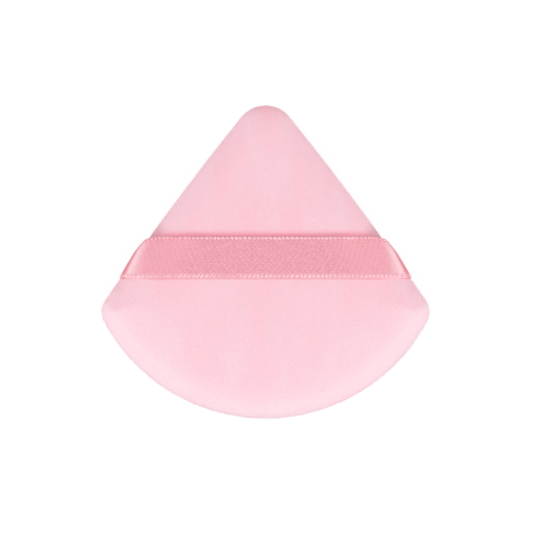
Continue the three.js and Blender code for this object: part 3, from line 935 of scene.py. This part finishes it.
# %% Draw the ribbon's lines
RIBBON_TAIL = 3.6
TAIL_ROWS = 4
BEND_ROWS = 24
GRIP_REACH = 2.5
LOWER_BEADS = 0.85
UPPER_BEADS = 0.68
BEAD_COLUMN = 3
MIDDLE_COLUMNS = 11


def ribbon_columns():
    """How far from the ribbon's lower edge its columns of points lie: closer at the curled edges."""
    edge = np.arange(BEAD_COLUMN + 2) / BEAD_COLUMN
    middle = np.linspace(2 * LOWER_BEADS, RIBBON_WIDTH - 2 * UPPER_BEADS, MIDDLE_COLUMNS)
    return np.concatenate((LOWER_BEADS * edge, middle, RIBBON_WIDTH - UPPER_BEADS * edge[::-1]))


def ribbon_line(bend_away, top_away):
    """(inset, height) of a line that stands off the pad, from its sewn end to where the pad turns flat."""
    mouth = SEAM_DRAW / 2
    turn = mouth + bend_away
    tail = mouth + RIBBON_TAIL * (1 - np.arange(TAIL_ROWS) / TAIL_ROWS)
    angles = np.linspace(0, math.pi / 2, CURL_STEPS + 1)
    insets = crowded(ROLL_REACH, BEND_ROWS)[1:]
    heights = pad_height(insets, FRONT_SWELL)
    away = bend_away + (top_away - bend_away) * np.clip(insets / GRIP_REACH, 0, 1)
    slopes = np.gradient(heights, insets)
    lengths = np.hypot(1, slopes)
    return np.vstack((np.column_stack((tail, np.zeros(TAIL_ROWS))),
                      np.column_stack((mouth - turn * np.sin(angles), turn * (1 - np.cos(angles)))),
                      (-bend_away, BULGE),
                      np.column_stack((insets - away * slopes / lengths, heights + away / lengths))))


print("the ribbon has", len(ribbon_columns()), "columns of points across its width")

# %% [markdown]
# ## The lie of the ribbon
# On top the ribbon lies on the swollen face, whose height is found by rays from above, so it cannot cut the
# velour. Only its two woven edges curl down into the pile. The pad is narrower above the ribbon than below
# it, so round the bend the ribbon stands off more and more towards its upper edge, and that edge is drawn
# down on its way into the slanting seam. Only at its very corner is it drawn in to the pad again.

# %% Lay the ribbon on the pad
RIBBON_THICKNESS = 0.3
RIBBON_CLEARANCE = 0.15
RIBBON_DRAW = 2.8
DRAW_HEIGHT = 4.4
UPPER_CURL = 0.38
LOWER_CURL = 0.6
CURL_REACH = 0.8
BEND_STAND = 0.65
CORNER_SHARE = 0.75
CORNER_DRAW = 0.6
TOP_STEPS = 30
JOIN_REACH = 10.0


def face_height(points):
    """Height of the front face over the seam, found by rays from above."""
    rays = [face_tree.ray_cast(Vector((x, y, 2 * SEAM_HEIGHT + FRONT_SWELL)) * MM, Vector((0, 0, -1)))
            for x, y in points]
    return np.array([spot.z for spot, *_ in rays]) / MM - SEAM_HEIGHT


def ribbon_half(hand):
    """Points of one half, in rows from the sewn end to the middle: hand is 1 for the right half."""
    columns = []
    for from_edge in ribbon_columns():
        share = from_edge / RIBBON_WIDTH
        low_away = RIBBON_CLEARANCE + RIBBON_THICKNESS / 2
        low_away -= LOWER_CURL * max(0, 1 - from_edge / CURL_REACH) ** 2
        top_away = low_away - UPPER_CURL * max(0, 1 - (RIBBON_WIDTH - from_edge) / CURL_REACH) ** 2
        corner = max(0, share - CORNER_SHARE) / (1 - CORNER_SHARE)
        stand = BEND_STAND * math.sqrt(share) * (1 - CORNER_DRAW * corner)
        line = ribbon_line(low_away + stand, top_away)
        flat_y = RIBBON_LOW_Y + from_edge
        fall = np.clip(1 - line[:, 1] / DRAW_HEIGHT, 0, 1)
        ys = flat_y - RIBBON_DRAW * share * fall
        xs = side_x(ys, line[:, 0] + ribbon_dent(flat_y, line[:, 0], line[:, 1]))
        end = np.column_stack((xs, ys, line[:, 1]))
        top_x = np.linspace(xs[-1], 0, TOP_STEPS)
        top_z = face_height([(x, flat_y) for x in top_x]) + top_away
        top_z += (line[-1, 1] - top_z[0]) * np.clip(1 - (xs[-1] - top_x) / JOIN_REACH, 0, 1) ** 2
        top = np.column_stack((top_x, np.full(TOP_STEPS, flat_y), top_z))
        columns.append(np.vstack((end, top[1:])))
    grid = np.stack(columns, axis=1)
    grid[..., 0] *= hand
    grid[..., 2] += SEAM_HEIGHT
    return grid


face_tree = BVHTree.FromObject(velour_front, bpy.context.evaluated_depsgraph_get())
ribbon_grids = {side_name: ribbon_half(hand) for side_name, hand in HANDS.items()}
print("each half of the ribbon is", " by ".join(str(n) for n in ribbon_grids["right"].shape[:2]), "points")

# %% [markdown]
# ## The two halves of the ribbon
# When fingers lift the ribbon its ends stay sewn and its middle rises. The ribbon is made as two halves that
# meet in the middle. Each is a closed band, with its cut edges kept crisp in the shading.

# %% Weave the two halves
CRISP_ANGLE = 50


def settle(piece):
    """Applies a piece's modifiers, and keeps its cut edges crisp in the shading."""
    graph = bpy.context.evaluated_depsgraph_get()
    shaped = piece.evaluated_get(graph)
    mesh = bpy.data.meshes.new_from_object(shaped, preserve_all_data_layers=True, depsgraph=graph)
    piece.modifiers.clear()
    piece.data = mesh
    mesh.set_sharp_from_angle(angle=math.radians(CRISP_ANGLE))


def lift_with_ribbon(piece):
    """Bakes a piece's placement into its mesh."""
    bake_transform(piece)


def woven_half(name, grid, hand):
    """One half of the ribbon as a closed band that knows how far along and across each point lies."""
    rows, columns = grid.shape[:2]
    faces = [face[::hand] for face in strip_faces(rows, columns, closed=False)]
    half = make_piece(name, grid.reshape(-1, 3), faces, satin)
    along = lengths_along(grid[:, columns // 2])
    place = np.zeros((rows, columns, 3), np.float32)
    place[..., 0] = hand * (along[-1] - along)[:, None]
    place[..., 1] = ribbon_columns()
    place[..., 2] = grid[..., 2] - SEAM_HEIGHT
    half.data.attributes.new(CLOTH_PLACE, "FLOAT_VECTOR", "POINT").data.foreach_set("vector", place.ravel())
    thicken(half, RIBBON_THICKNESS, 0)
    settle(half)
    return half, along[-1]


ribbon_lengths = {}
for side_name, hand in HANDS.items():
    half, ribbon_lengths[side_name] = woven_half(f"ribbon_{side_name}", ribbon_grids[side_name], hand)
    lift_with_ribbon(half)
    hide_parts("finger_ribbon")
    print(f"{half.name} is {ribbon_lengths[side_name]:.1f} mm long from its sewn end to the middle")

# %% [markdown]
# ## A tube along a line
# The edging and the sewing threads are all tubes. A Curve object with a bevel could make them, but it has
# to be turned into a mesh afterwards and gives little say in how the tube is turned. Here a ring of points
# is carried along the line with a side direction that is straightened at each point, so that the tube does
# not twist.

# %% Sweep tubes
TUBE_SIDES = 6


def tube(points, radii):
    """Points and faces of a closed tube along a line, with one radius or one for each point."""
    ahead = unit(np.gradient(points, axis=0))
    side = np.cross(ahead[0], ASKEW)
    angles = 2 * math.pi * np.arange(TUBE_SIDES) / TUBE_SIDES
    rings = []
    for point, direction, radius in zip(points, ahead, np.broadcast_to(radii, len(points))):
        side = side - direction * side.dot(direction)
        side /= np.linalg.norm(side)
        other = np.cross(direction, side)
        rings.append(point + radius * (np.outer(np.cos(angles), side) + np.outer(np.sin(angles), other)))
    faces = strip_faces(len(points), TUBE_SIDES, closed=True)
    last = (len(points) - 1) * TUBE_SIDES
    faces.append(tuple(range(TUBE_SIDES))[::-1])
    faces.append(tuple(range(last, last + TUBE_SIDES)))
    return np.vstack(rings), faces


print("a tube has", TUBE_SIDES, "sides")

# %% [markdown]
# ## Edging thread
# Along both edges of the ribbon a thick rayon thread is whipped through the weave. Filament rayon is smooth
# and slightly shiny, and paler than the satin. In stretches it sinks into the weave and loses its paleness,
# and in the upper row it does so towards both ends, where the ribbon is pulled tight. A noise as long as
# such a stretch and the distance from the middle give that, and the stronger of the two counts.

# %% Make the edging thread
EDGING_PITCH = 0.97
FADED_STRETCH = 5.0
FADED_ENDS = (20, 29)


def edging_thread():
    """Thick rayon thread: smooth, slightly shiny, paler than the ribbon."""
    material, tree = new_material("rayon_edging")
    place = add_node(tree, "ShaderNodeTexCoord").outputs["Object"]
    tone = add_node(tree, "ShaderNodeTexNoise", {"Vector": place, "Scale": 1 / (EDGING_PITCH * MM)})
    pink = add_node(tree, "ShaderNodeMix", {
        "Factor": tone.outputs["Fac"], "A": linear("#f4b4bf"), "B": linear("#fbd6dc")}, data_type="RGBA")
    stretch = add_node(tree, "ShaderNodeTexNoise", {"Vector": place, "Scale": 1 / (FADED_STRETCH * MM)})
    sunk = add_node(tree, "ShaderNodeMapRange", {
        "Value": stretch.outputs["Fac"], "From Min": 0.45, "From Max": 0.65, "To Max": 0.6})
    x, y, _ = add_node(tree, "ShaderNodeSeparateXYZ", {0: place}).outputs
    off_middle = add_node(tree, "ShaderNodeMath", {0: x}, operation="ABSOLUTE")
    upper = add_node(tree, "ShaderNodeMath", {0: y, 1: (RIBBON_LOW_Y + RIBBON_WIDTH / 2) * MM},
                     operation="GREATER_THAN")
    near_end = add_node(tree, "ShaderNodeMapRange", {
        "Value": off_middle.outputs[0], "From Min": FADED_ENDS[0] * MM, "From Max": FADED_ENDS[1] * MM,
        "To Max": upper.outputs[0]})
    stronger = add_node(tree, "ShaderNodeMath", {0: sunk.outputs[0], 1: near_end.outputs[0]},
                        operation="MAXIMUM")
    faded = add_node(tree, "ShaderNodeMix", {
        "Factor": stronger.outputs[0], "A": pink.outputs["Result"], "B": linear("#f0a6b3")}, data_type="RGBA")
    surface = add_node(tree, "ShaderNodeBsdfPrincipled", {
        "Base Color": faded.outputs["Result"], "Roughness": 0.45, "Specular IOR Level": 0.5})
    add_node(tree, "ShaderNodeOutputMaterial", {"Surface": surface.outputs[0]})
    return material


rayon = edging_thread()
print("made", rayon.name)

# %% [markdown]
# ## The ribbon's beaded edges
# A little in from both edges of the ribbon runs a row of tiny pale beads: the turns of the whipped thread.
# It is modelled as that thread, a helix whose centre runs along the edge, because beads set one by one
# would not hang together when the ribbon is lifted. The lower row's turns spread to upright ovals, and the
# upper row's stay small. By hand or by machine no turn is quite like the next, so two slow waves make them
# slightly uneven. Round the bend the thread is pressed slim, and it starts in the mouth of the seam, just
# past the sewn tail.

# %% Wind the edges
UNEVEN_TURN = 0.5
UNEVEN_SPANS = (1.9, 0.8)
EDGING_THREAD = 0.58
EDGING_WAVE = 0.26
BEAD_SWELL = 0.22
BEND_REACH = 2.4
BEND_SLIM = 0.3
HELIX_STEPS = 12
HIDDEN_ROWS = TAIL_ROWS + 2
EDGING_ROWS = (
    {"column": BEAD_COLUMN, "inwards": 1, "lift": -0.2, "spread": 0.3},
    {"column": -1 - BEAD_COLUMN, "inwards": -1, "lift": 0.06, "spread": 0.06},
)


def wound_thread(edge, inner, hand, lift, spread):
    """A tube wound along one edge of a ribbon half, full on top and slim where it is pressed at the bend."""
    along = lengths_along(edge)
    steps = np.linspace(0, along[-1], round(along[-1] / EDGING_PITCH * HELIX_STEPS))
    outward = unit(edge - inner)
    up = unit(np.cross(np.gradient(edge, axis=0), outward))
    up *= np.sign(up[-1, 2])
    centre, outward, up = (read_at(steps, along, table) for table in (edge, outward, up))
    walk = hand * (along[-1] - steps)
    uneven = np.sin(walk / UNEVEN_SPANS[0]) + np.cos(walk / UNEVEN_SPANS[1])
    turns = 2 * math.pi * walk / EDGING_PITCH + UNEVEN_TURN * uneven
    bend = float(np.interp(SEAM_HEIGHT + BULGE, edge[:, 2], along))
    full = np.clip((steps - bend) / BEND_REACH, BEND_SLIM, 1)
    line = (centre + (full * spread * np.cos(turns))[:, None] * outward
            + (full * (lift + EDGING_WAVE * np.sin(turns)))[:, None] * up)
    return tube(line, full * EDGING_THREAD / 2 * (1 + BEAD_SWELL * np.sin(turns)))


for side_name, hand in HANDS.items():
    grid = ribbon_grids[side_name][HIDDEN_ROWS:]
    points = []
    faces = []
    for row in EDGING_ROWS:
        edge = grid[:, row["column"]]
        inner = grid[:, row["column"] + row["inwards"]]
        row_points, row_faces = wound_thread(edge, inner, hand, row["lift"], row["spread"])
        faces += [tuple(v + len(points) for v in face) for face in row_faces]
        points += row_points.tolist()
    edging = make_piece(f"ribbon_edging_{side_name}", points, faces, rayon)
    lift_with_ribbon(edging)
    print(edging.name, "has", len(edging.data.polygons), "faces")

# %% [markdown]
# ## Foam
# The filling is open-cell polyurethane foam: cream, quite matt, and pitted by its pores. A texture of cells
# that are as wide as real pores gives both the colour and the pits.

# %% Make the foam
PORE = 0.7
PORE_DEPTH = 0.3


def foam():
    """Open-cell polyurethane foam: cream, quite matt, pitted by its pores."""
    material, tree = new_material("polyurethane_foam")
    place = add_node(tree, "ShaderNodeTexCoord").outputs["Object"]
    pores = add_node(tree, "ShaderNodeTexVoronoi",
                     {"Vector": place, "Scale": 1 / (PORE * MM)}).outputs["Distance"]
    cream = add_node(tree, "ShaderNodeMix", {
        "Factor": pores, "A": linear("#e9dccb"), "B": linear("#fdf7ee")}, data_type="RGBA")
    bump = add_node(tree, "ShaderNodeBump", {"Height": pores, "Strength": 0.6, "Distance": PORE_DEPTH * MM})
    surface = add_node(tree, "ShaderNodeBsdfPrincipled", {
        "Base Color": cream.outputs["Result"], "Roughness": 0.95, "Specular IOR Level": 0.2,
        "Normal": bump.outputs["Normal"]})
    add_node(tree, "ShaderNodeOutputMaterial", {"Surface": surface.outputs[0]})
    return material


sponge_foam = foam()
print("made", sponge_foam.name)

# %% [markdown]
# ## The sponge
# The filling is a slab of soft foam, cut to the puff's outline. The seam allowances press a groove into its
# rim. It never shows, but it is there when someone takes the puff apart, so it gets its own closed form:
# the panels' rise again, one cloth and a little air further in, with the groove between the two lobes.

# %% Cut the sponge
SPONGE_GAP = 0.3
SPONGE_DEPTH = VELOUR_THICKNESS + SPONGE_GAP
SPONGE_CELL = 2.0
GROOVE_DEPTH = 5.3
GROOVE_HALF = 1.5
GROOVE_ROUND = 0.3
GROOVE_WALL = (3.5, 2.0)
LOBE_ROWS = 12


def sponge_lobe(swell):
    """(inset, height) from the middle of the groove, out over the lobe and in to the flat face."""
    groove = [(GROOVE_DEPTH, 0), (GROOVE_DEPTH, GROOVE_HALF - GROOVE_ROUND)]
    groove += [(inset, GROOVE_HALF)
               for inset in (GROOVE_DEPTH - GROOVE_ROUND, *GROOVE_WALL, SPONGE_DEPTH + GROOVE_ROUND)]
    over = SPONGE_DEPTH + crowded(ROLL_REACH - SPONGE_DEPTH, LOBE_ROWS)
    return groove + list(zip(over, pad_height(over, swell, SPONGE_DEPTH)))


def sponge_body():
    """The closed slab: the back lobe walked in reverse, then the front one, and a face filled at each end."""
    back = [(inset, -height) for inset, height in sponge_lobe(BACK_SWELL)[::-1]]
    rows = back + sponge_lobe(FRONT_SWELL)[1:]
    rings = [np.column_stack((ring(inset), np.full(STATIONS, height))) for inset, height in rows]
    inside, triangles = honeycomb(ROLL_REACH, SPONGE_CELL)
    fills = [np.column_stack((inside, side * pad_height(inset_at(inside), swell, SPONGE_DEPTH)))
             for side, swell in ((-1, BACK_SWELL), (1, FRONT_SWELL))]
    points = np.vstack((*rings, *fills))
    points[:, 2] += SEAM_HEIGHT
    faces = strip_faces(len(rows), STATIONS, closed=True)
    last_ring = (len(rows) - 1) * STATIONS
    fill_starts = (len(rows) * STATIONS, len(rows) * STATIONS + len(inside))
    for first, fill_start, turn in zip((0, last_ring), fill_starts, (-1, 1)):
        for triangle in triangles:
            face = tuple(first + v if v < STATIONS else fill_start + v - STATIONS for v in triangle)
            faces.append(face[::turn])
    return make_piece("sponge_pad", points, faces, sponge_foam)


sponge = sponge_body()
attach(sponge, "pad")
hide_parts("sponge_core")
print(sponge.name, "has", len(sponge.data.polygons), "faces")

# %% [markdown]
# ## Sewing thread
# The thread is spun polyester in the puff's own pink: a little hairy and so not very shiny, with the
# slanting ribs of its twisted plies. A diagonal Wave texture draws the ribs at the length of one twist.

# %% Make the sewing thread
PLY_PITCH = 0.7


def sewing_thread():
    """Spun polyester: pink, slightly hairy, with the slanting ribs of its plies."""
    material, tree = new_material("spun_polyester_thread")
    place = add_node(tree, "ShaderNodeTexCoord").outputs["Object"]
    plies = add_node(tree, "ShaderNodeTexWave", {"Vector": place, "Scale": DIAGONAL_WAVE / (PLY_PITCH * MM)},
                     bands_direction="DIAGONAL")
    pink = add_node(tree, "ShaderNodeMix", {
        "Factor": plies.outputs["Fac"], "A": linear("#eaa9b8"), "B": linear("#f8c6d1")}, data_type="RGBA")
    surface = add_node(tree, "ShaderNodeBsdfPrincipled", {
        "Base Color": pink.outputs["Result"], "Roughness": 0.6, "Specular IOR Level": 0.4})
    add_node(tree, "ShaderNodeOutputMaterial", {"Surface": surface.outputs[0]})
    return material


polyester = sewing_thread()
print("made", polyester.name)

# %% [markdown]
# ## Where the stitches go
# The seam runs inside the puff at an even distance from its edge, and the needle comes down at even steps
# along it. A gap in the middle of the base is left for turning and filling, and it has stitches of its own.

# %% Space the stitches
STITCH_INSET = 2.7
STITCH_PITCH = 2.75
CLOSING_PITCH = 2.2
TURNING_GAP = 24
CLOSING_MARGIN = 1
GLANCE = 0.1

stitch_line = closed_round(ring(STITCH_INSET))
stitch_walk = lengths_along(stitch_line)


def stitch_at(distance):
    """A point of the stitching line, the way along it and the way out of it."""
    around = np.array((distance - GLANCE, distance + GLANCE)) % stitch_walk[-1]
    start, end = read_at(around, stitch_walk, stitch_line)
    along = (end - start) / np.linalg.norm(end - start)
    return (start + end) / 2, along, np.array((along[1], -along[0]))


def stitches_between(first, last, pitch):
    """Stitches spread evenly between two distances along the line."""
    return [stitch_at(distance) for distance in np.linspace(first, last, round((last - first) / pitch) + 1)]


gap_half = TURNING_GAP / 2
closing_half = gap_half - CLOSING_MARGIN
seam = stitches_between(gap_half, stitch_walk[-1] - gap_half, STITCH_PITCH)
closing = stitches_between(-closing_half, closing_half, CLOSING_PITCH)
print(len(seam), "stitches by machine and", len(closing), "by hand")

# %% [markdown]
# ## The stitching
# A machine seam has two threads. The needle's thread runs along one side of the cloth and the bobbin's
# along the other, and at each hole a loop of the one is hooked through a loop of the other. The gap through
# which the puff was turned and filled is closed by hand, with one thread that goes up through one hole and
# down through the next. Each thread is a line of points, rounded where it loops, swept into a tube.

# %% Sew the seam
THREAD_RADIUS = 0.1
THREAD_RUN = 1.2
LOOP_HALF = 0.22
LOOP_DEPTH = 0.1
LOOP_STEPS = 6
HOLE_STEPS = (1, 0.5, -0.5, -1)


def lockstitch(stitches, side, across):
    """One thread of the seam, on one side of the cloth: its loops lie along the seam, or across it."""
    path = []
    for point, along, out in stitches:
        axis = out if across else along
        for k in range(LOOP_STEPS + 1):
            turn = math.pi * k / LOOP_STEPS
            flat = point - axis * LOOP_HALF * math.cos(turn)
            dip = (THREAD_RUN + LOOP_DEPTH) * math.sqrt(math.sin(turn))
            path.append((*flat, side * (THREAD_RUN - dip)))
    return path


def hand_stitch(stitches):
    """The closing thread: up through one hole, down through the next."""
    path = []
    for k, (point, _, _) in enumerate(stitches):
        side = 1 if k % 2 else -1
        path += [(*point, side * THREAD_RUN * share) for share in HOLE_STEPS]
    return path


threads = {"needle_thread": lockstitch(seam, 1, False), "bobbin_thread": lockstitch(seam, -1, True),
           "closing_thread": hand_stitch(closing)}
for node, path in threads.items():
    line = np.array(path) + (0, 0, SEAM_HEIGHT)
    sewn = make_piece(f"sewn_{node}", *tube(line, THREAD_RADIUS), polyester)
    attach(sewn, "pad")
    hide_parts(node)
    print(f"{sewn.name} is {lengths_along(line)[-1]:.0f} mm long")
